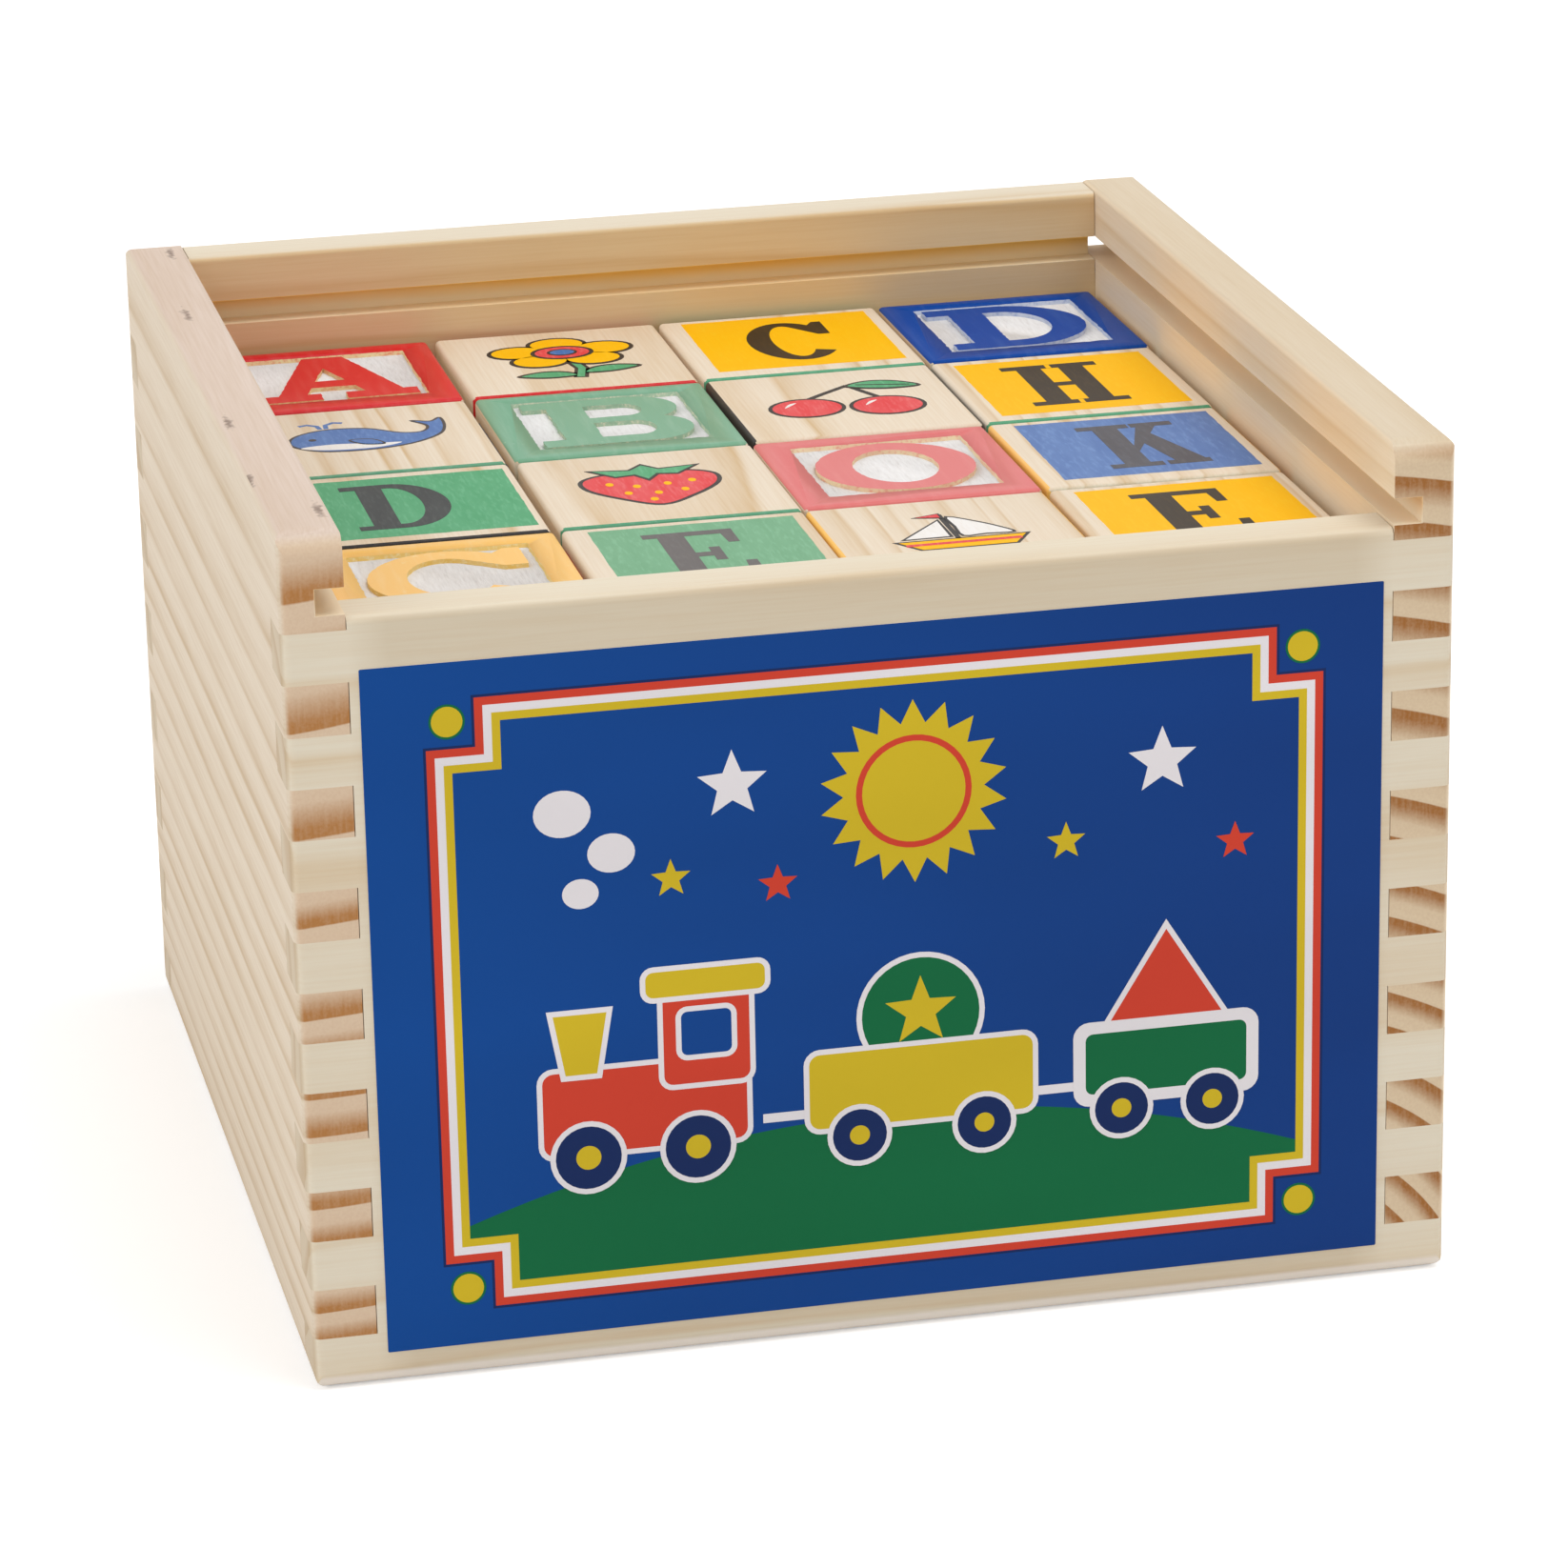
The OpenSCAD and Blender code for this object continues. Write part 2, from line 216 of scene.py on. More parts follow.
def makeWood(name, grainTurn, heart, ringWidth, light, dark, end=None, ownPlace=False, marks=0.0, contrast=1.0,
             wavy=9.0, uneven=9.0, power=1.0, groove=None, shadeFacing=None, tint=None, middle=100.0, foot=None):
    material, shader, add = newMaterial(name, 0.62, 0.35)
    if ownPlace:
        place = add("Attribute", attribute_name="woodPlace").outputs["Vector"]
    else:
        source = add("TexCoord").outputs["Object"]
        place = add("Mapping", {"Vector": source, "Rotation": grainTurn, "Scale": (1000, 1000, 1000)})
    phase = yearPhase(add, place, heart, ringWidth, wavy, uneven, power)
    # pale early wood darkens slowly into a thin late band, then drops sharply
    band = setStops(add("ValToRGB", {0: phase}), [(0.0, 0.0), (0.35, 0.08), (0.72, 0.55), (0.86, 1.0), (0.97, 0.15)])
    fibre = drawnNoise(add, place, (1 / wood["fibreLength"], 1 / wood["fibre"], 1 / wood["fibre"]))
    cloud = drawnNoise(add, place, (0.012, 0.11, 0.11))
    strength = add("MapRange", {0: cloud, 1: 0.3, 2: 0.7, 3: 0.25 * contrast, 4: 1.0 * contrast})
    ringDark = add("Math", {0: band, 1: strength}, operation="MULTIPLY")
    fibreDark = add("MapRange", {0: fibre, 1: 0.35, 2: 0.75, 3: 0.0, 4: 0.3})
    total = add("Math", {0: ringDark, 1: fibreDark}, operation="ADD", use_clamp=True)
    colour = add("Mix", {0: total, 6: light, 7: dark}, data_type="RGBA").outputs[2]
    if marks:
        colour = addMarks(add, place, colour, marks)
    if end:
        colour = addEnds(add, place, colour, grainTurn, phase, fibreDark, end)
    if shadeFacing:
        colour = addFacingShade(add, place, colour, shadeFacing, tint, middle)
    if groove:
        colour = addGroove(add, place, colour, cloud, groove)
    if foot:
        colour = addFloorBounceLight(add, colour, foot)
    dress(add, shader, colour, fibre, 0.12, wood["relief"])
    return material


alongX = (0.0, 0.0, 0.0)
alongY = (0.0, 0.0, -math.pi / 2)
# shadeFacing and tint give painted shade: the side walls' tops and the end walls' front-facing faces are darkened
sideWood = {"wavy": 2.5, "uneven": 1.5, "foot": "#F4EAE0", "shadeFacing": (0.0, 0.0, 1.0)}
# foot, here and above, is a paler colour painted on the edge at the foot as light bounced off the floor
frontWood = {"ringWidth": 6.5, "end": ("#D3C1A6", "#C5AC8A"), "foot": "#F4EAE0", "shadeFacing": (0.0, -1.0, 0.0)}
# clear stripes, sharp brown arcs on the ends, dark marks on a top that painted shade tints pinkish and a little
# darker
pineLeft = makeWood("pineLeft", alongY, (80.0, 202.0), 41.0, "#E8D8C2", "#CBB08C", ("#E2C8AB", "#B47A40"), power=2.0,
                    contrast=1.1, marks=0.9, groove=("#F0DDBE", "#E0BD8C"), tint=(0.94, 0.90, 0.97), **sideWood)
# creamier, with tighter and darker arcs, and its top darkened as painted shade
pineRight = makeWood("pineRight", alongY, (-46.0, -11.0), 0.46, "#F6E4C9", "#E6CBA4", ("#E2CBAA", "#A2672C"),
                     power=0.615, groove=("#F2E0C2", "#E6BE8C"), tint=(0.825, 0.83, 0.83), **sideWood)
# pale and even; its outer face, between the fingers, is a little greyer as painted shade
pineFront = makeWood("pineFront", alongX, (-30.0, 52.0), light="#EADFC9", dark="#DFC9A8", tint=(0.88, 0.85, 0.81),
                     middle=61.0, **frontWood)
# the same, with its inner face turned golden by painted warm shade, and the groove more so
pineBack = makeWood("pineBack", alongX, (120.0, 30.0), light="#E8DCC6", dark="#DBC5A4", tint=(0.96, 0.82, 0.61),
                    groove=("#F9E6C0", "#F2C66C"), **frontWood)
# faint broad stripes
plywood = makeWood("birchPlywood", alongY, (10.0, 260.0), 9.0, "#E2CDA8", "#CBAE82", contrast=0.6)
# fine stripes, in another place of the plank for each block
blockWood = makeWood("basswood", alongX, (0.0, 0.0), 4.0, "#EEDFCA", "#D6B78C", ownPlace=True, contrast=1.1)


def addPaintedSheen(add, colour):
    # painted sheen: a whole block paled by its own number towards a pinkish white, standing in for the gloss
    # reflected off its paint
    sheenHaze = add("Attribute", attribute_name="sheenHaze").outputs["Fac"]
    return add("Mix", {0: sheenHaze, 6: colour, 7: "#F0DCD7"}, data_type="RGBA").outputs[2]


def makePaint(name, colour, worn, shine=0.2):
    # thin toy paint brushed on sanded wood: satin, a little streaky along the grain, rubbed paler in spots
    material, shader, add = newMaterial(name, 0.36, shine)
    place = add("Attribute", attribute_name="woodPlace").outputs["Vector"]
    streak = drawnNoise(add, place, (0.09, 0.9, 0.9), 4.0)
    thin = add("MapRange", {0: streak, 1: 0.48, 2: 0.74, 3: 0.0, 4: 0.25})
    scuffs = add("TexNoise", {"Vector": place, "Scale": 0.5, "Detail": 5.0, "Roughness": 0.7})
    scuff = add("MapRange", {0: scuffs, 1: 0.63, 2: 0.7, 3: 0.0, 4: 0.35})
    both = add("Math", {0: thin, 1: scuff}, operation="ADD", use_clamp=True)
    mixed = add("Mix", {0: both, 6: colour, 7: worn}, data_type="RGBA").outputs[2]
    dress(add, shader, addPaintedSheen(add, mixed), drawnNoise(add, place, (0.12, 2.2, 2.2)), 0.2, 0.06)
    return material


def makeField():
    # routed floor of a carved face: cut wood sprayed white, with faint cutter ridges
    material, shader, add = newMaterial("whitewashedCut", 0.8, ior=1.45)
    place = add("Attribute", attribute_name="woodPlace").outputs["Vector"]
    ridges = drawnNoise(add, place, (0.35, 2.4, 2.4), 5.0, Roughness=0.65)
    shade = setStops(add("ValToRGB", {0: ridges}), [(0.25, "#DAD6D3"), (0.42, "#EBE8E6"), (0.7, "#F5F3F2")])
    dress(add, shader, shade.outputs[0], ridges, 0.5, 0.12)
    return material


def makeInk(name, colour, thin, roughness=0.45, shine=0.2):
    # screen-printed ink: a smooth, even film that lets the wood's fibres show a little
    material, shader, add = newMaterial(name, roughness, shine)
    place = add("Attribute", attribute_name="woodPlace").outputs["Vector"]
    cloud = drawnNoise(add, place, (0.1, 0.55, 0.55), 5.0)
    amount = add("MapRange", {0: cloud, 1: 0.35, 2: 0.72, 3: 0.0, 4: 0.5})
    grain = drawnNoise(add, place, (0.4, 2.0, 2.0), 4.0)
    specks = add("MapRange", {0: grain, 1: 0.5, 2: 0.68, 3: 0.0, 4: 0.7})
    spread = add("Math", {0: amount, 1: specks}, operation="ADD", use_clamp=True)
    mixed = add("Mix", {0: spread, 6: colour, 7: thin}, data_type="RGBA").outputs[2]
    dress(add, shader, addPaintedSheen(add, mixed), grain, 0.15, 0.05)
    return material


blockFinishes = [
    blockWood, makeField(),
    # paint thins out on the cut edges, so each colour has a matt, patchy edge of its own
    makeInk("redCutEdge", "#EFD9A6", "#E58F6B", 0.7),
    makeInk("blueCutEdge", "#C9D0E0", "#9FADD0", 0.7),
    makeInk("greenCutEdge", "#86B795", "#D8D9BC", 0.7),
    makeInk("yellowCutEdge", "#EFC455", "#F4DFA4", 0.7),
    makeInk("blackCutEdge", "#B5AFA8", "#8C857E", 0.7),
    # rims and carved letters, satin
    makePaint("redToyPaint", "#DC2228", "#E8706A"),
    makePaint("blueToyPaint", "#08469E", "#4A70B6", shine=0.06),
    makePaint("greenToyPaint", "#58A47D", "#9CC8AE"),
    makePaint("yellowToyPaint", "#FFC75C", "#FFDF9E"),
    makePaint("blackToyPaint", "#2B2726", "#5A5654"),
    # prints, thin and even
    makeInk("redPrintInk", "#E4343A", "#EA6668"),
    makeInk("bluePrintInk", "#376BAF", "#5A86C2"),
    makeInk("greenPrintInk", "#47A06C", "#62B282"),
    makeInk("yellowPrintInk", "#FFBE00", "#FFC418", shine=0.06),
    makeInk("whitePrintInk", "#F6F2EE", "#EFE8E0"),
    makeInk("blackPrintInk", "#2B2624", "#3A3531"),
    # the coloured square is printed over the letter too, so each letter takes a tint
    makeInk("letterOnYellow", "#2A1E0C", "#3C2C14"),
    makeInk("letterOnBlue", "#2B303B", "#424853"),
    makeInk("letterOnGreen", "#272C2D", "#3F4443"),
    makeInk("letterOnRed", "#4A2E2C", "#5C3B38"),
]
finishNames = [material.name for material in blockFinishes]
print("finishes made")


# Flat outlines, in millimetres
def arc(cx, cy, rx, ry, start, stop, steps=14):
    angles = [math.radians(start + (stop - start) * i / steps) for i in range(steps + 1)]
    return [(cx + rx * math.cos(a), cy + ry * math.sin(a)) for a in angles]


def ellipse(cx, cy, rx, ry=None, steps=28):
    return arc(cx, cy, rx, ry or rx, 0, 360, steps)[:-1]


def plate(x0, y0, x1, y1, r=0.0):
    if not r:
        return [(x0, y0), (x1, y0), (x1, y1), (x0, y1)]
    return (arc(x0 + r, y0 + r, r, r, 180, 270, 5) + arc(x1 - r, y0 + r, r, r, 270, 360, 5)
            + arc(x1 - r, y1 - r, r, r, 0, 90, 5) + arc(x0 + r, y1 - r, r, r, 90, 180, 5))


def smoothLoop(points, steps=5):
    # a closed curve through given points
    loop = []
    for i in range(len(points)):
        p0, p1, p2, p3 = (Vector(points[(i + k) % len(points)]) for k in (-1, 0, 1, 2))
        for j in range(steps):
            t = j / steps
            loop.append(tuple(0.5 * (2 * p1 + (p2 - p0) * t + (2 * p0 - 5 * p1 + 4 * p2 - p3) * t * t
                                     + (3 * p1 - p0 - 3 * p2 + p3) * t ** 3)))
    return loop


def area(loop):
    return sum(a[0] * b[1] - b[0] * a[1] for a, b in zip(loop, loop[1:] + loop[:1])) / 2


def grow(loop, distance):
    # moves an outline outwards, or inwards for a negative distance
    sign = 1 if area(loop) > 0 else -1
    result = []
    for before, here, after in zip(loop[-1:] + loop[:-1], loop, loop[1:] + loop[:1]):
        a = (Vector(here) - Vector(before)).normalized()
        b = (Vector(after) - Vector(here)).normalized()
        normal = Vector((a.y + b.y, -a.x - b.x)) * sign
        if normal.length < 0.001:
            normal = Vector((a.y, -a.x)) * sign
        normal.normalize()
        spread = max(0.5, normal.dot(Vector((a.y, -a.x)) * sign))
        result.append(tuple(Vector(here) + normal * distance / spread))
    return result


def moved(loop, dx, dy, turn=0.0, size=1.0):
    c, s = math.cos(math.radians(turn)) * size, math.sin(math.radians(turn)) * size
    return [(x * c - y * s + dx, x * s + y * c + dy) for x, y in loop]


def star(cx, cy, outer, inner, points=5):
    loop = []
    for i in range(2 * points):
        radius, angle = (outer, inner)[i % 2], math.pi / 2 + i * math.pi / points
        loop.append((cx + radius * math.cos(angle), cy + radius * math.sin(angle)))
    return loop


def stroke(points, width):
    # a ribbon of even width along an open line
    left, right = [], []
    for i, here in enumerate(points):
        before, after = points[max(i - 1, 0)], points[min(i + 1, len(points) - 1)]
        along = (Vector(after) - Vector(before)).normalized() * width / 2
        left.append((here[0] - along.y, here[1] + along.x))
        right.append((here[0] + along.y, here[1] - along.x))
    return right + left[::-1]


def roughen(loop, amount, spacing, dice):
    # a cut edge: the outline in short steps, each pulled a little off the line
    result = []
    for a, b in zip(loop, loop[1:] + loop[:1]):
        start, run = Vector(a), Vector(b) - Vector(a)
        steps = max(1, round(run.length / spacing))
        side = Vector((run.y, -run.x)).normalized() if run.length > 0 else Vector((0, 0))
        for i in range(steps):
            off = 0.0 if i == 0 else dice.gauss(0, amount)
            result.append(tuple(start + run * (i / steps) + side * off))
    return result


def letter(ch, width, height, main, slab):
    # a fat capital with slab feet: its outline, then the holes in it. s is the
    # main stroke's width and f the height of its feet
    x, y, s, f = width / 2, height / 2, main, slab
    foot = x * 0.3
    left, right = foot - x, foot - x + s      # the upright stroke's sides
    tip, tall = f * 0.8, y * 0.62             # hooks at the arms' ends
    upper = [(-x, y), (-x, y - f), (left, y - f), (left, f - y), (-x, f - y)]
    if ch == "A":
        top, thin, thick = x * 0.27, s * 0.8, s * 1.05
        outer = x - foot * 0.6
        low, high = -y * 0.42, -y * 0.42 + f      # of the crossbar

        def side(level, into):
            # the outer line of a leg at this height, moved in by a stroke
            share = (level - f + y) / (2 * y - f)
            return outer + (top - outer) * share - into

        meet = 0.5 * (side(0, thin) + side(0, thick)) / ((outer - top) / (2 * y - f))
        lean = 0.5 * (side(meet, thick) - side(meet, thin))
        return [[(-x, -y), (-x * 0.27, -y), (-x * 0.27, f - y), (-side(f - y, thin), f - y), (-side(low, thin), low),
                 (side(low, thick), low), (side(f - y, thick), f - y), (x * 0.06, f - y), (x * 0.06, -y), (x, -y),
                 (x, f - y), (outer, f - y), (top, y), (-top, y), (-outer, f - y), (-x, f - y)],
                [(-side(high, thin), high), (lean, meet), (side(high, thick), high)]]
    if ch == "B":
        bend = x * 0.38
        low, high = y * 0.576, y * 0.523          # half heights of the two bowls
        waist, half = low * 1.82 - y, f * 0.4
        hole = x - s - bend + f * 0.3
        lower = arc(bend - f * 0.3, (f - y + waist - half) / 2, hole, (waist - half - f + y) / 2, -90, 90)
        over = arc(bend - half, (y - f + waist + half) / 2, hole, (y - f - waist - half) / 2, -90, 90)
        return [[(-x, -y)] + arc(bend, low - y, x - bend, low, -90, 55)
                + arc(bend, y - high, (x - bend) * 0.94, high, -55, 90) + upper,
                [(right, f - y)] + lower + [(right, waist - half)],
                [(right, waist + half)] + over + [(right, y - f)]]
    if ch == "C":
        edge, high, low = x * 0.97, y * 0.94, y * 0.28        # of the hook at its end
        return [arc(0, 0, x, y, 52, 322, 30) + arc(0, 0, x - s, y - f, 322, 62, 24)
                + [(x - tip * 1.3, low), (edge, low), (edge, high), (x * 0.76, high)]]
    if ch == "D":
        bend = -x * 0.06
        return [[(-x, -y)] + arc(bend, 0, x - bend, y, -90, 90, 26) + upper,
                [(right, f - y)] + arc(bend, 0, x - s - bend, y - f, -90, 90, 22) + [(right, y - f)]]
    if ch in "EL":
        lower = [(-x, -y), (x, -y), (x, tall - y), (x - tip, tall - y), (x - tip * 1.2, f - y), (right, f - y)]
        if ch == "L":
            return [lower + [(right, y - f), (right + foot, y - f), (right + foot, y)] + upper]
        arm, end = x * 0.2, x * 0.93
        return [lower + [(right, -f / 2), (arm, -f / 2), (arm, -y * 0.28), (arm + tip, -y * 0.28),
                         (arm + tip, y * 0.28), (arm, y * 0.28), (arm, f / 2), (right, f / 2), (right, y - f),
                         (end - tip * 1.2, y - f), (end - tip, y - tall * 0.92), (end, y - tall * 0.92), (end, y)]
                + upper]
    if ch == "H":
        toe = right + foot * 0.8
        quarter = [(left, f - y), (-x, f - y), (-x, -y), (toe, -y), (toe, f - y), (right, f - y), (right, -f / 2)]
        half = quarter + [(-px, py) for px, py in quarter[::-1]]
        loop = half + [(px, -py) for px, py in half[::-1]]
        return [loop[2:] + loop[:2]]
    if ch == "K":
        slope = (2 * y - f) * 0.78 / (x * 0.42 - right) * 0.62        # of the thin upper arm
        base, thick, inner = -y * 0.3, f * 1.25, right + foot * 0.8
        topX = right + (y - f - base) / slope
        split, join = right + (x - right) * 0.2, right + (x - right) * 0.46
        return [[(-x, -y), (inner, -y), (inner, f - y), (right, f - y), (right, base),
                 (split, base + slope * (split - right)), (x * 0.9 - s * 1.15, f - y), (x * 0.14, f - y),
                 (x * 0.14, -y), (x, -y), (x, f - y), (x * 0.92, f - y), (join, base + slope * (join - right)),
                 (topX, y - f), (x * 0.95, y - f), (x * 0.95, y), (x * 0.1, y), (x * 0.1, y - f),
                 (topX - thick * 1.2, y - f), (right, base + thick * 1.25), (right, y - f), (inner, y - f),
                 (inner, y)] + upper]
    if ch == "O":
        return [ellipse(0, 0, x, y, 44), ellipse(0, 0, x - s, y - f, 36)]
    # a T: its right half from the foot up, and the same mirrored
    base = min(x * 0.55, s)
    half = [(base, -y), (base, f - y), (s / 2, f - y), (s / 2, y - f), (x - tip * 1.2, y - f), (x - tip, y - tall),
            (x, y - tall), (x, y)]
    mirrored = [(-px, py) for px, py in half[::-1]]
    return [mirrored[-1:] + half + mirrored[:-1]]


def cutShape(loops, low, high):
    # a closed plate between two heights with these outlines, as a mesh in millimetres
    curve = bpy.data.curves.new("outline", "CURVE")
    curve.dimensions = "2D"
    curve.fill_mode = "BOTH"
    curve.extrude = (high - low) / 2
    for loop in loops:
        spline = curve.splines.new("POLY")
        spline.points.add(len(loop) - 1)
        for point, (px, py) in zip(spline.points, loop):
            point.co = (px, py, 0, 1)
        spline.use_cyclic_u = True
    holder = bpy.data.objects.new("outline", curve)
    mesh = bpy.data.meshes.new_from_object(holder)
    bpy.data.objects.remove(holder)
    bpy.data.curves.remove(curve)
    mesh.transform(Matrix.Translation((0, 0, (low + high) / 2)))
    return mesh


def addShape(bm, loops, low, high, place, top, side=None):
    # joins such a plate to a growing mesh: finish numbers for its top and its sides
    mesh = cutShape(loops, low, high)
    piece = bmesh.new()
    piece.from_mesh(mesh)
    bmesh.ops.remove_doubles(piece, verts=piece.verts, dist=0.0005)
    bmesh.ops.recalc_face_normals(piece, faces=piece.faces)
    for face in piece.faces:
        face.material_index = top if face.normal.z > 0.7 or side is None else side
        face.smooth = False
    bmesh.ops.transform(piece, matrix=place, verts=piece.verts)
    piece.to_mesh(mesh)
    piece.free()
    bm.from_mesh(mesh)
    bpy.data.meshes.remove(mesh)


def newPiece(bm, name, materials):
    mesh = bpy.data.meshes.new(name)
    bm.normal_update()
    bm.to_mesh(mesh)
    bm.free()
    for material in materials:
        mesh.materials.append(material)
    piece = bpy.data.objects.new(name, mesh)
    bpy.context.scene.collection.objects.link(piece)
    return piece


# Pictures, each about 22 by 14 mm: colour, level, outlines
def outlined(colour, loop, line=0.45, level=1):
    return [("black", level, [grow(loop, line / 2)]), (colour, level + 1, [grow(loop, -line / 2)])]


leaf = smoothLoop([(0, 0), (2.2, 1.7), (5.2, 1.6), (8, -0.4), (5, -1.3), (2, -1.0)])


def whale():
    body = smoothLoop([(-10.5, -1.2), (-9.6, 3.0), (-5.2, 5.4), (0.5, 4.6), (4.6, 1.2), (7.6, 0.8), (8.8, 3.4),
                       (7.2, 6.4), (9.6, 5.4), (11.2, 6.8), (11.0, 2.4), (9.4, -1.4), (5.0, -4.6), (-1.0, -5.8),
                       (-7.2, -4.8)])
    belly = smoothLoop([(-9.6, -2.6), (-5.0, -2.0), (0.0, -3.0), (4.0, -3.6), (0.0, -5.1), (-6.4, -4.5)])
    fin = smoothLoop([(-2.6, -0.6), (0.4, -1.0), (1.6, -3.6), (-1.2, -3.0)])
    spout = [stroke([(-5.4, 6.0), (-5.6, 7.6), (-6.8, 8.6), (-8.0, 8.2)], 0.7),
             stroke([(-4.6, 6.0), (-4.4, 7.8), (-3.2, 8.7), (-2.0, 8.2)], 0.7)]
    return (outlined("blue", body) + [("white", 3, [belly])] + outlined("blue", fin, 0.35, 3)
            + [("black", 3, [ellipse(-7.4, 0.9, 0.55, steps=14)])] + [("blue", 1, [jet]) for jet in spout])


def flower():
    stem = [(0.4, -1), (0.9, -4)]
    mirrored = [(-px, py) for px, py in leaf]
    layers = [("black", 1, [stroke(stem + [(0.2, -7.4)], 1.5)]),
              ("green", 2, [stroke(stem + [(0.2, -7.2)], 0.75)])]
    layers += outlined("green", moved(leaf, 0.8, -5.6, 14, 0.75))
    layers += outlined("green", moved(mirrored, 0.2, -6.4, -10, 0.75))
    for i in range(5):
        angle = math.radians(90 + 72 * i)
        petal = ellipse(4.6 * math.cos(angle), 2.2 + 3.3 * math.sin(angle), 2.9, 2.3, 22)
        layers += outlined("yellow", petal, 0.45, 3)
    return (layers + outlined("red", ellipse(0, 2.2, 3.0, 2.3, 22), 0.45, 5)
            + outlined("blue", ellipse(0, 2.2, 1.4, 1.1, 16), 0.3, 7))


def cherries():
    layers = []
    for cx, cy in ((-5.2, -2.4), (4.4, -3.2)):
        layers += [("black", 1, [stroke([(cx, cy + 3), (cx * 0.5 + 0.4, 3.4), (1.2, 6.4)], 0.8)])]
        layers += outlined("red", ellipse(cx, cy, 4.4, 3.9, 26), 0.5, 2)
        shine = [(cx - 2.6, cy + 0.4), (cx - 1.9, cy + 1.9), (cx - 0.9, cy + 2.4), (cx - 1.8, cy + 1.2)]
        layers += [("white", 4, [smoothLoop(shine)])]
    return (layers + outlined("green", moved(leaf, 1.0, 6.0, -6, 1.1), 0.45, 4)
            + [("black", 6, [stroke([(2.2, 6.2), (8.6, 5.0)], 0.3)])])


def strawberry():
    body = smoothLoop([(-6.8, 2.8), (-4.0, 4.6), (0, 3.9), (4.0, 4.6), (6.8, 2.8), (6.6, -0.6), (3.6, -4.4),
                       (0, -7.0), (-3.6, -4.4), (-6.6, -0.6)])
    cap = [(0, 7.4), (1.5, 5.6), (5.6, 6.2), (3.2, 3.4), (1.2, 3.8), (0, 1.8), (-1.2, 3.8), (-3.2, 3.4),
           (-5.6, 6.2), (-1.5, 5.6)]
    seeds = [(-4.2, 1.0), (-1.6, -0.2), (1.6, 0.2), (4.2, 0.8), (-2.8, -2.4), (0.2, -2.8), (3.0, -2.2), (-0.6, -5.0)]
    return (outlined("red", body, 0.5) + outlined("green", cap, 0.4, 3)
            + [("yellow", 3, [ellipse(px, py, 0.42, 0.62, 10)]) for px, py in seeds])


def boat():
    hull = [(-8.6, -2.2), (8.8, -2.2), (6.4, -6.2), (-6.0, -6.2)]
    mainSail = smoothLoop([(0.4, 7.4), (3.6, 4.4), (6.0, 1.2), (7.2, -1.4), (3.6, -1.2), (0.5, -1.3), (0.4, 3.0)], 3)
    foreSail = [(-1.0, 6.2), (-1.0, -1.3), (-7.4, -1.3)]
    pennant = [(-0.3, 8.8), (-3.8, 7.8), (-0.3, 6.9)]
    waves = [(-9.6 + i * 1.6, -7.2 + 0.35 * (-1) ** i) for i in range(13)]
    return ([("black", 1, [plate(-0.65, -2.6, 0.05, 8.6)])] + outlined("yellow", hull)
            + outlined("white", mainSail) + outlined("white", foreSail)
            + [("red", 3, [plate(-7.6, -4.4, 7.5, -3.5)])] + outlined("red", pennant, 0.3, 3)
            + [("blue", 1, [stroke(waves, 0.5)])])


def ball():
    seam = arc(0, 0, 7.1, 7.1, 150, 210, 10)[2:4]
    return (outlined("yellow", ellipse(0, 0, 7.4, steps=34), 0.5)
            + [("red", 3, [arc(0, 0, 7.0, 7.0, -60, 60, 14) + arc(-4.0, 0, 7.4, 7.4, 48, -48, 10)]),
               ("blue", 3, [arc(0, 0, 7.0, 7.0, 120, 240, 14) + arc(4.0, 0, 7.4, 7.4, 228, 132, 10)]),
               ("white", 5, [star(0, 0.2, 2.6, 1.1)]), ("black", 4, [stroke(seam, 0.2)])])


def fish():
    body = smoothLoop([(-9.6, 0.2), (-6.4, 3.8), (-0.6, 4.9), (4.6, 2.2), (7.4, 0.8), (10.6, 4.0), (10.2, 0.2),
                       (10.6, -3.8), (7.4, -1.0), (4.4, -2.8), (-0.8, -4.8), (-6.6, -3.6)])
    stripes = [([(-3.6, 4.0), (-2.7, 0), (-3.4, -4.0)], 1.0), ([(0.2, 4.3), (1.0, 0), (0.2, -4.2)], 1.0),
               ([(3.6, 2.4), (4.2, 0), (3.6, -2.6)], 0.9)]
    return (outlined("red", body) + [("yellow", 3, [stroke(line, width)]) for line, width in stripes]
            + [("white", 3, [ellipse(-6.6, 1.0, 0.95, steps=14)]),
               ("black", 4, [ellipse(-6.7, 1.0, 0.45, steps=12)])])


pictures = {
    "whale": whale(), "flower": flower(), "cherries": cherries(), "strawberry": strawberry(), "boat": boat(),
    "ball": ball(), "fish": fish(),
    "star": outlined("yellow", star(0, -0.4, 8.6, 3.9), 0.5) + outlined("red", star(0, -0.4, 3.8, 1.7), 0.3, 3),
}
# how much larger than drawn each is printed
pictureSizes = {"flower": 1.4, "cherries": 1.15, "strawberry": 1.3, "ball": 1.25, "star": 1.15}

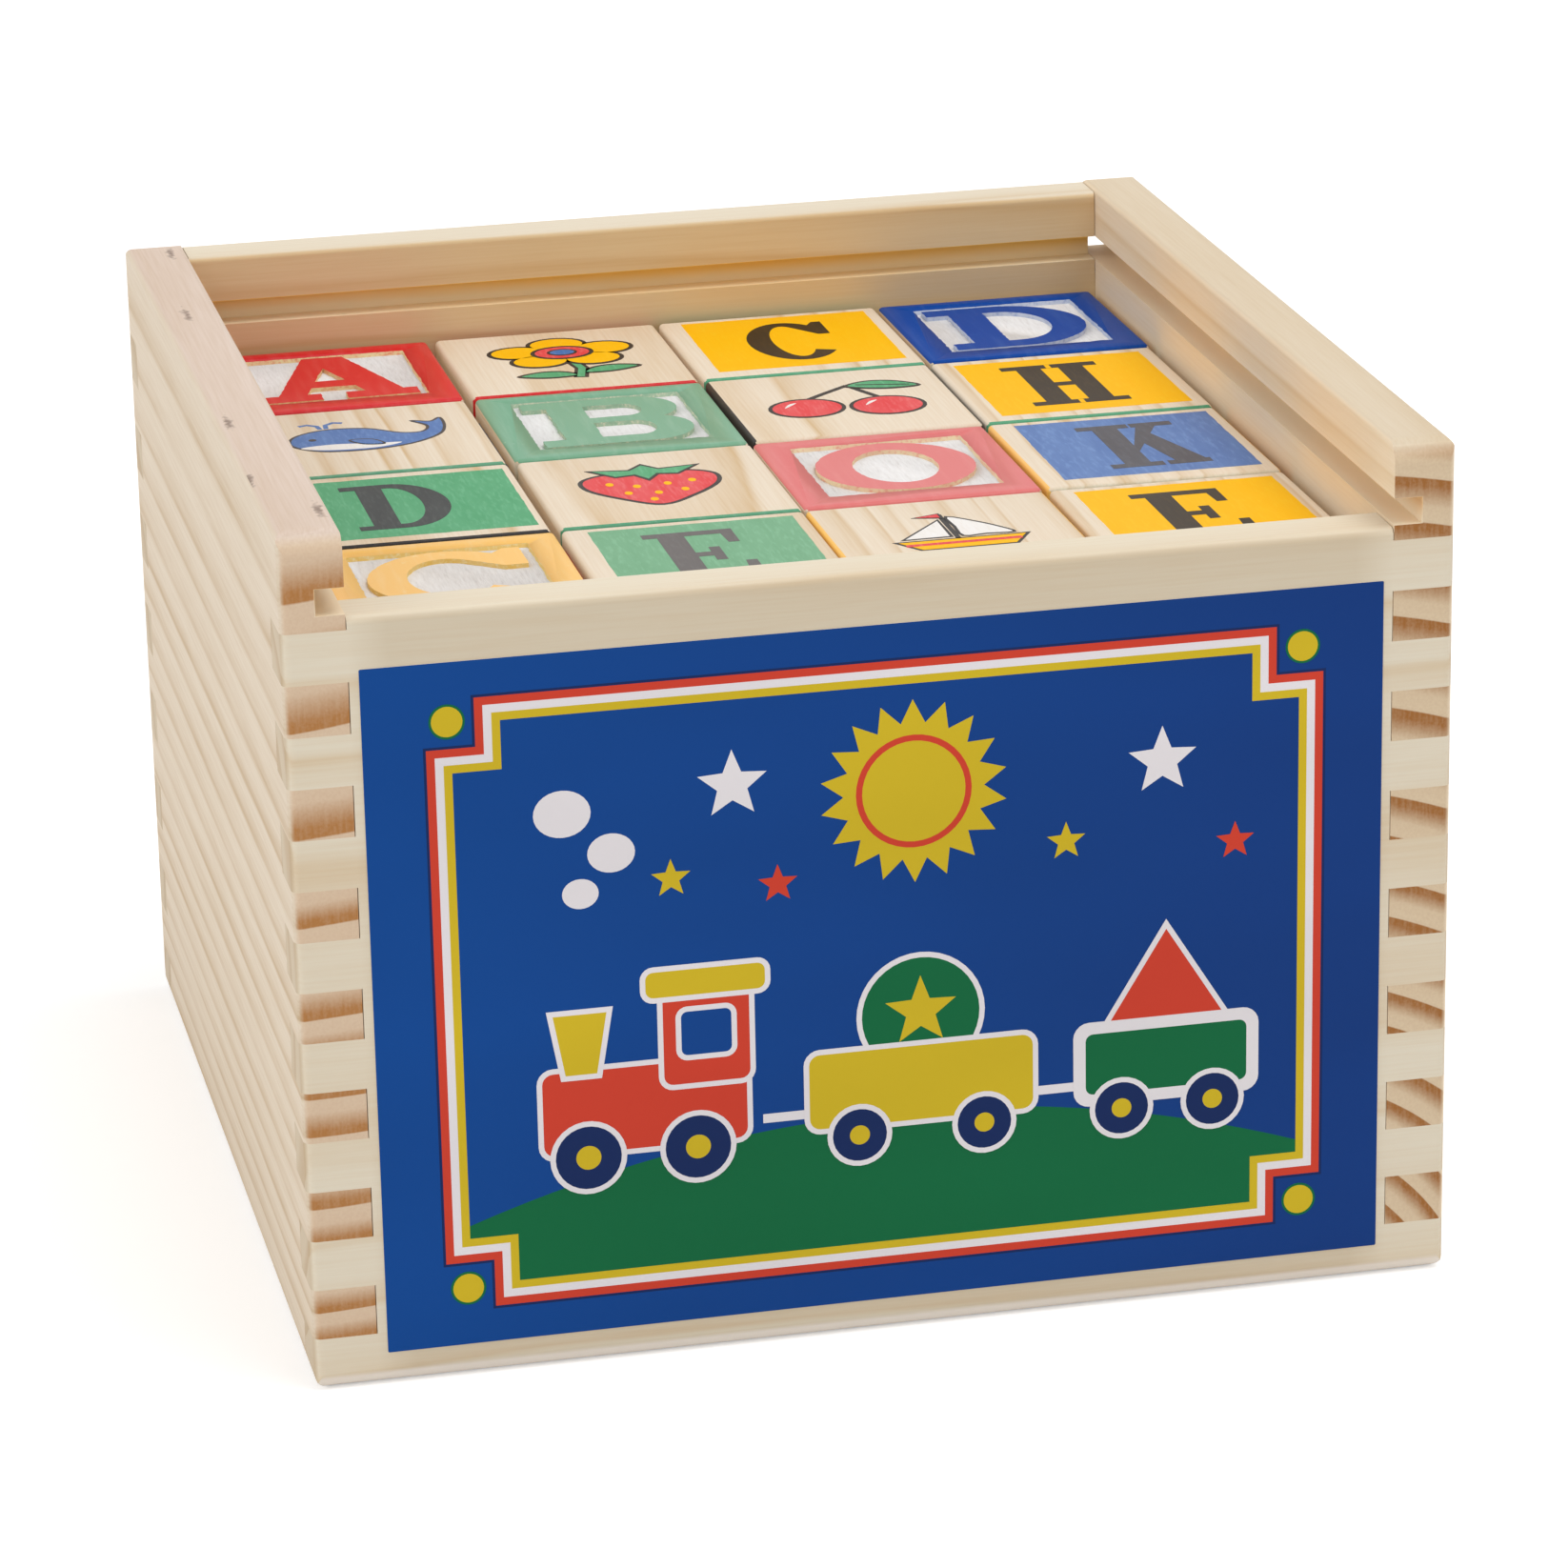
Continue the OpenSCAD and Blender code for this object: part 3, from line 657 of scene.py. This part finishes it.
block = {
    "size": 31.75,
    "pitch": 32.5,
    "edge": 0.7,            # radius of the sanded edges
    "rim": 4.2,             # width of a carved face's rim
    "depth": 0.6,           # of the field inside it
    "steps": 26,            # along the rim
    "stray": 0.05,          # of the cutter at each of them
    "letterGap": 0.7,
    "letterDrop": 0.01,     # of its top below the rim's
    "carved": (0.965, 5.0, 3.2),        # a carved letter's width to its height, its main stroke and feet
    "nicks": (0.045, 0.8),              # in its outline: how far off the line, and how often
    "square": 26.8,         # printed colour behind a black letter
    "squareShift": (0.6, 0.4, 0.3),     # to the right and up, and how far it strays
    "squareNicks": (0.03, 1.2),
    "printed": (20.2, 3.5, 1.8),        # a printed letter's height, its main stroke and feet
    "letterShift": (-0.8, 0.2),
    "pictureShift": (0.0, 0.6, 0.4),
    "film": 0.018,          # thickness of one layer of ink
    "sunk": 0.02,           # how far a print or letter reaches into what it stands on
    "panel": 2.0,           # top of the bottom panel
}
# Faces: the way they look, and the way their letters run
faceFrames = {
    "up": ((0, 0, 1), (1, 0, 0)), "down": ((0, 0, -1), (-1, 0, 0)), "front": ((0, -1, 0), (1, 0, 0)),
    "back": ((0, 1, 0), (-1, 0, 0)), "right": ((1, 0, 0), (0, 1, 0)), "left": ((-1, 0, 0), (0, -1, 0)),
}
axisFaces = {"z": ("up", "down"), "y": ("front", "back"), "x": ("right", "left")}
# Each layer from the top, each row from the back: the letter carved in a block, on
# which two faces, and in which paint: red, blue, green, yellow or black
carvedLetters = [["ATLD", "HBET", "LKOC", "CEAK"], ["EOHA", "CLTB", "DKAE", "BHOL"], ["KDBO", "TACH", "OELD", "HTKB"]]
carvedAxes = [["zyyz", "yzxy", "yyzx", "zyxy"], ["yxzy", "xyxz", "zyxy", "yxzx"], ["xzyx", "yxyz", "xzxy", "zyxz"]]
# the top layer's second row, third block is painted black on its sides as painted shade, darkening the gaps beside it
carvedPaints = [["rrgb", "ggkg", "kgry", "yryg"], ["bygr", "rbyg", "grby", "ybgr"], ["grby", "byrg", "yrgb", "rgyb"]]
paintNames = {"r": "red", "b": "blue", "g": "green", "y": "yellow", "k": "black"}
# What is printed on top of the top blocks that aren't carved there: a picture, or
# a letter, its colour and how far it was printed to the right, in mm
topPrints = [[None, "flower", ("C", "yellow", 1.0), None],
             ["whale", None, "cherries", ("H", "yellow", 0.0)],
             [("D", "green", -1.0), "strawberry", None, ("K", "blue", 2.0)],
             [None, ("E", "green", 0.0), "boat", ("E", "yellow", 0.0)]]
printWidths = {"C": 12.6, "D": 13.2, "H": 13.6, "K": 13.6, "E": 12.2, "A": 13.8, "B": 12.0, "L": 11.4, "O": 12.2,
               "T": 12.4}
# The top blocks have slid a little to the sides, mm, and some, towards the front, are paled as painted sheen
slid = [[0.0, 0.4, 0.35, 0.2], [-0.1, 0.4, 0.3, -0.1], [-0.1, 0.35, -0.15, -0.3], [0.0, 0.15, -0.35, -0.4]]
sheenAmounts = [[0.0, 0.0, 0.0, 0.0], [0.04, 0.12, 0.0, 0.0], [0.0, 0.0, 0.24, 0.06], [0.08, 0.12, 0.0, 0.0]]


def faceMatrix(name):
    normal, right = (Vector(v) for v in faceFrames[name])
    turn = Matrix((right, normal.cross(right), normal)).transposed().to_4x4()
    return turn @ Matrix.Translation((0, 0, block["size"] / 2))


def finish(name):
    return finishNames.index(name)


def carve(bm, faceName, ch, colour, dice):
    # sinks a field inside the rim and leaves a letter standing in it
    paint, cut = finish(colour + "ToyPaint"), finish(colour + "CutEdge")
    place = faceMatrix(faceName)
    right, up, normal = (place.col[i].to_3d() for i in range(3))
    bm.normal_update()
    face = max((f for f in bm.faces if f.normal.dot(normal) > 0.99), key=lambda f: f.calc_area())
    for other in bm.faces:
        if other.normal.dot(normal) > 0.5:
            other.material_index = paint
    bmesh.ops.inset_individual(bm, faces=[face], thickness=block["rim"] - block["edge"], use_even_offset=True)
    bmesh.ops.subdivide_edges(bm, edges=face.edges[:], cuts=block["steps"])
    centre = face.calc_center_median()
    for vert in face.verts:
        for axis in (right, up):
            reach = (vert.co - centre).dot(axis)
            if abs(reach) > block["size"] / 2 - block["rim"] - 0.01:
                vert.co += axis * dice.gauss(0, block["stray"]) * (1 if reach > 0 else -1)
    floor = bmesh.ops.extrude_discrete_faces(bm, faces=[face])["faces"][0]
    bmesh.ops.translate(bm, verts=floor.verts[:], vec=-normal * block["depth"])
    for edge in floor.edges:
        for wall in edge.link_faces:
            wall.material_index = cut
    floor.material_index = finish("whitewashedCut")
    height = block["size"] - 2 * (block["rim"] + block["letterGap"])
    share, main, slab = block["carved"]
    loops = [roughen(loop, *block["nicks"], dice) for loop in letter(ch, height * share, height, main, slab)]
    addShape(bm, loops, -block["depth"] - block["sunk"], -block["letterDrop"], place, paint, cut)


def printSquare(bm, faceName, ch, colour, aside, dice):
    # a coloured square with a black letter over it, both a little off the middle
    place = faceMatrix(faceName)
    (right, up, stray), (letterX, letterY) = block["squareShift"], block["letterShift"]
    dx, dy = dice.gauss(right, stray), dice.gauss(up, stray)
    half, film = block["square"] / 2, block["film"]
    height, main, slab = block["printed"]
    square = roughen(plate(-half, -half, half, half), *block["squareNicks"], dice)
    square = moved(square, dx, dy, dice.gauss(0, 0.25))
    addShape(bm, [square], -block["sunk"], film, place, finish(colour + "PrintInk"))
    loops = [moved(loop, dx * 0.5 + letterX + aside, dy * 0.5 + letterY)
             for loop in letter(ch, printWidths[ch], height, main, slab)]
    addShape(bm, loops, 0.0, film * 2, place, finish("letterOn" + colour.capitalize()))


def printPicture(bm, faceName, name, dice):
    place = faceMatrix(faceName)
    right, up, stray = block["pictureShift"]
    dx, dy, turn = dice.gauss(right, stray), dice.gauss(up, stray), dice.gauss(0, 1.2)
    size = pictureSizes.get(name, 1.0)
    for colour, level, loops in pictures[name]:
        loops = [moved(loop, dx, dy, turn, size) for loop in loops]
        addShape(bm, loops, -block["sunk"], block["film"] * level, place, finish(colour + "PrintInk"))


def makeBlock(layer, row, column):
    node = f"block_{('top', 'middle', 'bottom')[layer]}_row{row + 1}_{column + 1}"
    dice = random.Random(1000 * layer + 10 * row + column)
    bm = bmesh.new()
    bmesh.ops.create_cube(bm, size=block["size"])
    bmesh.ops.bevel(bm, geom=bm.edges[:], offset=block["edge"], offset_type="OFFSET", segments=4, profile=0.5,
                    affect="EDGES", material=-1)
    for face in bm.faces:
        face.smooth = True
    axis = carvedAxes[layer][row][column]
    paint = paintNames[carvedPaints[layer][row][column]]
    for faceName in axisFaces[axis]:
        carve(bm, faceName, carvedLetters[layer][row][column], paint, dice)
    # the other four faces take a picture and a letter by turns
    others = [name for key in "zyx" if key != axis for name in axisFaces[key]]
    for i, faceName in enumerate(others):
        wanted = topPrints[row][column] if layer == 0 and faceName == "up" else None
        if wanted is None:
            picture = dice.choice(sorted(pictures))
            lettered = (dice.choice("ABCDEHKLOT"), dice.choice(["blue", "green", "red", "yellow"]), 0.0)
            wanted = lettered if (i + row + column) % 2 else picture
        if isinstance(wanted, str):
            printPicture(bm, faceName, wanted, dice)
        else:
            printSquare(bm, faceName, *wanted, dice)
    shift, turn = (slid[row][column], dice.gauss(0, 0.12)) if layer == 0 else (0.0, 0.0)
    # the block's own place in a plank: its grain runs front to back, the plank's along X
    roll = Matrix.Rotation(math.radians(dice.choice([0, 90, 180, 270])), 4, "X")
    plankTurn = roll @ Matrix.Rotation(math.radians(-90), 4, "Z")
    plankShift = Vector((dice.uniform(-900, 900), dice.uniform(-14, 14), dice.choice([-1, 1]) * dice.uniform(30, 70)))
    piece = newPiece(bm, node.replace("block", "letterBlock"), blockFinishes)
    mesh = piece.data
    plank = mesh.attributes.new("woodPlace", "FLOAT_VECTOR", "POINT")
    for vert, item in zip(mesh.vertices, plank.data):
        item.vector = plankTurn @ vert.co + plankShift
    sheenHaze = mesh.attributes.new("sheenHaze", "FLOAT", "POINT")
    for item in sheenHaze.data:
        item.value = sheenAmounts[row][column] if layer == 0 else 0.0
    centre = Vector(((column - 1.5) * block["pitch"] + shift, (1.5 - row) * block["pitch"],
                     block["panel"] + (2 - layer) * block["size"] + block["size"] / 2))
    mesh.transform(Matrix.Scale(mm, 4) @ Matrix.Translation(centre) @ Matrix.Rotation(math.radians(turn), 4, "Z"))
    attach(piece, node)
    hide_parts(node)


for layer in range(3):
    for row in range(4):
        for column in range(4):
            makeBlock(layer, row, column)
print("48 blocks carved and printed")

for nodeName, material in {"left_wall": pineLeft, "right_wall": pineRight, "front_wall": pineFront,
                           "back_wall": pineBack, "bottom_panel": plywood}.items():
    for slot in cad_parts[nodeName].material_slots:
        slot.material = material
print("walls and bottom panel finished")

label = {
    "thickness": 0.25,
    "card": 0.12,           # the rest is ink
    "film": 0.018,
    "corner": 0.2,
    "border": (7.8, 4.8),   # outer border line from the card's edges
    "line": 1.05,
    "shadow": 0.35,         # dark line round the border
    "notch": (6.1, 6.3),
    "dots": (10.5, 7.6),    # corner dots' centres from the card's edges
    "outline": 0.7,         # white line round each part of the train
}


def makeLabelInk(name, colour, roughness=0.35, right=None):
    # offset-printed card, silk: saturated and smooth, with the wood's slight ripple below
    material, shader, add = newMaterial(name, roughness, 0.12)
    place = add("TexCoord").outputs["Object"]
    ripple = drawnNoise(add, place, (12, 12, 40), 2.0)
    value = add("MapRange", {0: ripple, 1: 0.3, 2: 0.7, 3: 0.93, 4: 1.06})
    # some inks print a little deeper towards the right
    aside = add("MapRange", {0: add("SeparateXYZ", {0: place}), 1: -60 * mm, 2: 60 * mm})
    mixed = add("Mix", {0: aside, 6: colour, 7: right or colour}, data_type="RGBA").outputs[2]
    tone = add("HueSaturation", {"Color": mixed, "Value": value})
    dress(add, shader, tone.outputs[0], drawnNoise(add, place, (60, 60, 700), 2.0), 0.15, 0.05)
    return material


labelFinishes = {
    "card": makeLabelInk("cardEdge", "#DCD6CC", 0.6),
    "blue": makeLabelInk("blueLabelInk", "#074894", right="#0C3A80"),
    "navy": makeLabelInk("navyLabelInk", "#12295C"),
    "red": makeLabelInk("redLabelInk", "#D5432F"),
    "yellow": makeLabelInk("yellowLabelInk", "#D6B926"),
    "white": makeLabelInk("whiteLabelInk", "#ECE6E8"),
    "green": makeLabelInk("greenLabelInk", "#0B6A3E"),
}


def notchedFrame(w, h, inset):
    # an upright oblong with a square bite out of each corner
    x, y = w / 2 - inset, h / 2 - inset
    a, b = label["notch"]
    return [(a - x, -y), (x - a, -y), (x - a, b - y), (x, b - y), (x, y - b), (x - a, y - b), (x - a, y), (a - x, y),
            (a - x, y - b), (-x, y - b), (-x, b - y), (a - x, b - y)]


def labelArt(w, h):
    # border lines, corner dots, and a toy train on a green hill under a sun. Each
    # entry is a colour and its outlines; a later one is printed over those before.
    layers = []

    def lay(colour, *loops):
        layers.append((colour, loops))

    def part(colour, loop):
        lay("white", grow(loop, label["outline"]))
        lay(colour, loop)

    fw, fh = w - 2 * label["border"][0], h - 2 * label["border"][1]
    line, (notchX, notchY), (dotX, dotY) = label["line"], label["notch"], label["dots"]
    for i, colour in enumerate(("navy", "red", "white", "yellow", "blue")):
        lay(colour, notchedFrame(fw, fh, (i - 1) * line if i else -label["shadow"]))
    for colour, radius in (("green", 2.25), ("yellow", 1.95)):
        lay(colour, *[ellipse(sx * (w / 2 - dotX), sy * (h / 2 - dotY), radius) for sx in (-1, 1) for sy in (-1, 1)])
    # the hill fills the frame's foot, inside its notches
    foot, reach = 3 * line - fh / 2, fw / 2 - 3 * line
    shoulder = reach - notchX
    crest = [(px, foot + 17.5 - 9.5 * (px / reach) ** 2) for px in [reach * (1 - i / 15) for i in range(31)]]
    lay("green", crest + [(-reach, foot + notchY), (-shoulder, foot + notchY), (-shoulder, foot), (shoulder, foot),
                          (shoulder, foot + notchY), (reach, foot + notchY)])
    # sun and stars
    lay("yellow", star(4, 23.0, 12.0, 9.0, 18))
    lay("red", ellipse(4, 23.0, 7.4, steps=40))
    lay("yellow", ellipse(4, 23.0, 6.6, steps=40))
    lay("white", star(-19, 26, 4.6, 2.0), star(36, 24, 4.6, 2.0))
    lay("yellow", star(-27, 14.5, 2.6, 1.1), star(23.5, 14.5, 2.6, 1.1))
    lay("red", star(-13.5, 12.5, 2.6, 1.1), star(45.5, 12.5, 2.6, 1.1))
    # steam, couplings, the engine and two wagons with a white outline each, then the wheels
    lay("white", *[ellipse(cx, cy, r, r * 0.85)
                   for cx, cy, r in ((-38.4, 13.6, 2.3), (-34.4, 18.6, 3.0), (-40.4, 24.2, 3.6))])
    rail = foot + 15.2      # where the wheels' centres run
    lay("white", *[plate(x0, rail + 2.6, x0 + 9, rail + 3.8) for x0 in (-16, 18)])
    part("red", plate(-44, rail + 1, -18, rail + 12, 1.4))
    part("red", plate(-28.5, rail + 9, -17.5, rail + 21.5, 1.2))
    part("yellow", plate(-30.6, rail + 20.8, -15.4, rail + 24.2, 1.0))
    part("blue", plate(-26.2, rail + 12.8, -19.8, rail + 18.6, 0.8))
    part("yellow", [(-41.0, rail + 11.6), (-37.0, rail + 11.6), (-35.6, rail + 19.6), (-42.4, rail + 19.6)])
    part("green", ellipse(4.5, rail + 15.2, 7.6, steps=40))
    lay("yellow", star(4.5, rail + 15.6, 4.8, 2.0))
    part("yellow", plate(-10, rail + 1, 19, rail + 11, 1.4))
    part("red", [(28.4, rail + 10.4), (44.6, rail + 10.4), (36.5, rail + 23.4)])
    part("white", plate(25, rail + 1, 48, rail + 11, 1.4))
    lay("green", plate(25.9, rail + 1.9, 47.1, rail + 10.1, 1.0))
    for places, cy, radii, steps in (((-38.4, -24.4), rail + 0.4, (4.9, 4.2, 1.6), 30),
                                     ((-3.6, 12.6, 30.6, 42.6), rail - 0.3, (4.2, 3.5, 1.3), 28)):
        for colour, radius in zip(("white", "navy", "yellow"), radii):
            lay(colour, *[ellipse(cx, cy, radius, steps=steps) for cx in places])
    return layers


def makeLabel():
    low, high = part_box("front_label")
    w, h = (high[0] - low[0]) / mm, (high[2] - low[2]) / mm
    order = list(labelFinishes)
    edge, card, film = order.index("card"), label["card"], label["film"]
    bm = bmesh.new()
    flat = Matrix.Identity(4)
    sheet = plate(-w / 2, -h / 2, w / 2, h / 2, label["corner"])
    addShape(bm, [sheet], 0.0, card - film, flat, edge)
    addShape(bm, [sheet], card - film, card, flat, order.index("blue"), edge)
    art = labelArt(w, h)
    rise = (label["thickness"] - card) / (len(art) + 1)      # each colour lies a little over the last
    for level, (colour, loops) in enumerate(art, 1):
        addShape(bm, loops, card - 0.005, card + rise * level, flat, order.index(colour))
    place = (Matrix.Translation(((low[0] + high[0]) / 2, high[1], (low[2] + high[2]) / 2)) @ Matrix.Scale(mm, 4)
             @ Matrix.Rotation(math.pi / 2, 4, "X"))
    bmesh.ops.transform(bm, matrix=place, verts=bm.verts)
    piece = newPiece(bm, "printedLabel", labelFinishes.values())
    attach(piece, "box")
    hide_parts("front_label")


makeLabel()
print("label printed")

studio = {
    "floorSize": 8.0,
    "paper": (0.86, 0.86, 0.86, 1),
    "lift": 0.34,           # light added where the paper is seen straight, up to white
    "world": 0.64,
    "aim": (0, 0, 0.05),
    "key": (0.7, -0.4, 2.4, 21.0, 1.6),      # place, power, size
    "fill": (-2.0, -0.6, 1.3, 12.0, 1.8),
}


def makeStudio():
    # a paper sweep that shows white and still takes the shadow
    material, shader, add = newMaterial("paperSweep", 0.9)
    path = add("LightPath").outputs
    seen = add("Math", {0: path["Is Camera Ray"], 1: path["Is Glossy Ray"]}, operation="MAXIMUM")
    lift = add("Math", {0: seen, 1: studio["lift"]}, operation="MULTIPLY")
    setInputs(shader, {"Base Color": studio["paper"], "Emission Color": (1, 1, 1, 1), "Emission Strength": lift})
    bm = bmesh.new()
    bmesh.ops.create_grid(bm, x_segments=1, y_segments=1, size=studio["floorSize"])
    newPiece(bm, "studioFloor", [material])

    world = bpy.data.worlds.new("studio")
    bpy.context.scene.world = world
    world.use_nodes = True
    world.node_tree.nodes.clear()
    add = partial(addNode, world.node_tree)
    path = add("LightPath").outputs
    through = add("Math", {0: path["Is Camera Ray"], 1: path["Is Transmission Ray"]}, operation="MAXIMUM")
    white = add("Math", {0: through, 1: path["Is Glossy Ray"]}, operation="MAXIMUM")
    light, backdrop = (add("Background", {"Color": (1, 1, 1, 1), "Strength": level})
                       for level in (studio["world"], 1.0))
    output = add("OutputWorld", {"Surface": add("MixShader", {0: white, 1: light, 2: backdrop})})
    output.is_active_output = True

    for name in ("key", "fill"):
        *place, power, size = studio[name]
        lamp = bpy.data.lights.new(name + "Softbox", "AREA")
        lamp.shape = "DISK"
        lamp.size = size
        lamp.energy = power
        holder = bpy.data.objects.new(name + "Softbox", lamp)
        holder.location = place
        holder.rotation_euler = (Vector(studio["aim"]) - holder.location).to_track_quat("-Z", "Y").to_euler()
        bpy.context.scene.collection.objects.link(holder)


# The camera was fitted to the box's and blocks' corners in the photograph
view = {
    "lens": 142.444,
    "place": (-0.166733, -0.780604, 0.324956),
    "right": (0.97535841, -0.21978864, -0.01920736),
    "up": (0.08956755, 0.31490093, 0.94488891),
}


def makeCamera():
    data = bpy.data.cameras.new("camera")
    data.sensor_width = 36.0
    data.lens = view["lens"]
    data.clip_start = 0.01
    camera = bpy.data.objects.new("camera", data)
    right, up = Vector(view["right"]), Vector(view["up"])
    turn = Matrix((right, up, right.cross(up))).transposed().to_4x4()
    camera.matrix_world = Matrix.Translation(view["place"]) @ turn
    bpy.context.scene.collection.objects.link(camera)
    bpy.context.scene.camera = camera


makeStudio()
makeCamera()
bpy.context.scene.view_settings.view_transform = "Standard"
print("studio and camera set")
